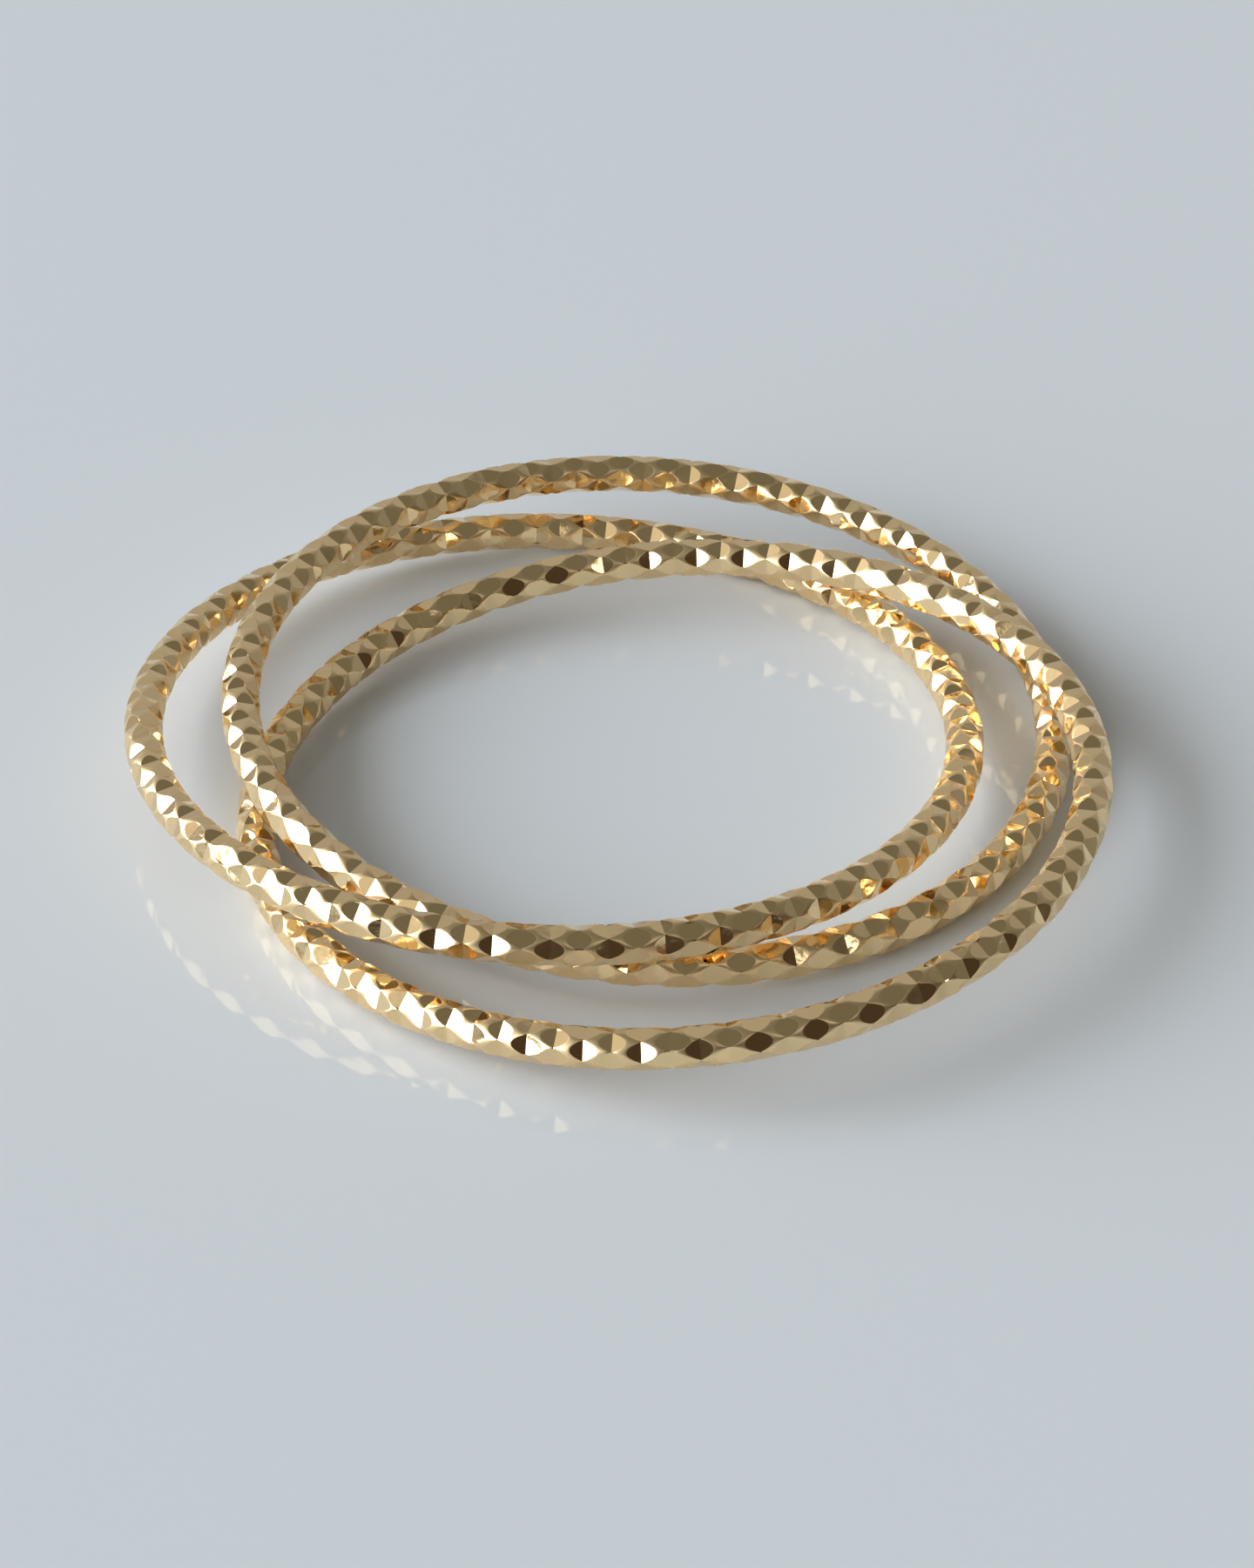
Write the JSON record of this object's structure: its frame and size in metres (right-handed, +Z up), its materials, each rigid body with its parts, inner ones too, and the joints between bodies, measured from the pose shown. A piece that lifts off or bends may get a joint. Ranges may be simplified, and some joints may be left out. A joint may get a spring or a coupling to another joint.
{
  "type": "multi-band ring",
  "caption": "Finger ring of slim faceted gold bands, each linked through the others, lying fanned out on a surface.",
  "frame": {"origin": "on the surface that the ring lies on, under the middle of its bounding box", "axes": "+Z up, -Y towards the picture's camera, +X to the picture's right"},
  "size_m": [0.0216, 0.0222, 0.0023],
  "materials": {
    "gold": "polished pale yellow gold, cut all over with small bright facets"
  },
  "bodies": {
    "front_band": {"front_band": "gold"},
    "left_band": {"left_band": "gold"},
    "back_band": {"back_band": "gold"}
  },
  "joints": [
    {"name": "left_band_turn", "type": "hinge", "parent": "front_band", "child": "left_band", "pos_m": [-0.00128, 0.00083, 0.00114], "axis": [0.0284, 0.0703, 0.9971], "continuous": true},
    {"name": "back_band_turn", "type": "hinge", "parent": "front_band", "child": "back_band", "pos_m": [0.00079, 0.00159, 0.00115], "axis": [0.0567, -0.0529, 0.997], "continuous": true}
  ]
}
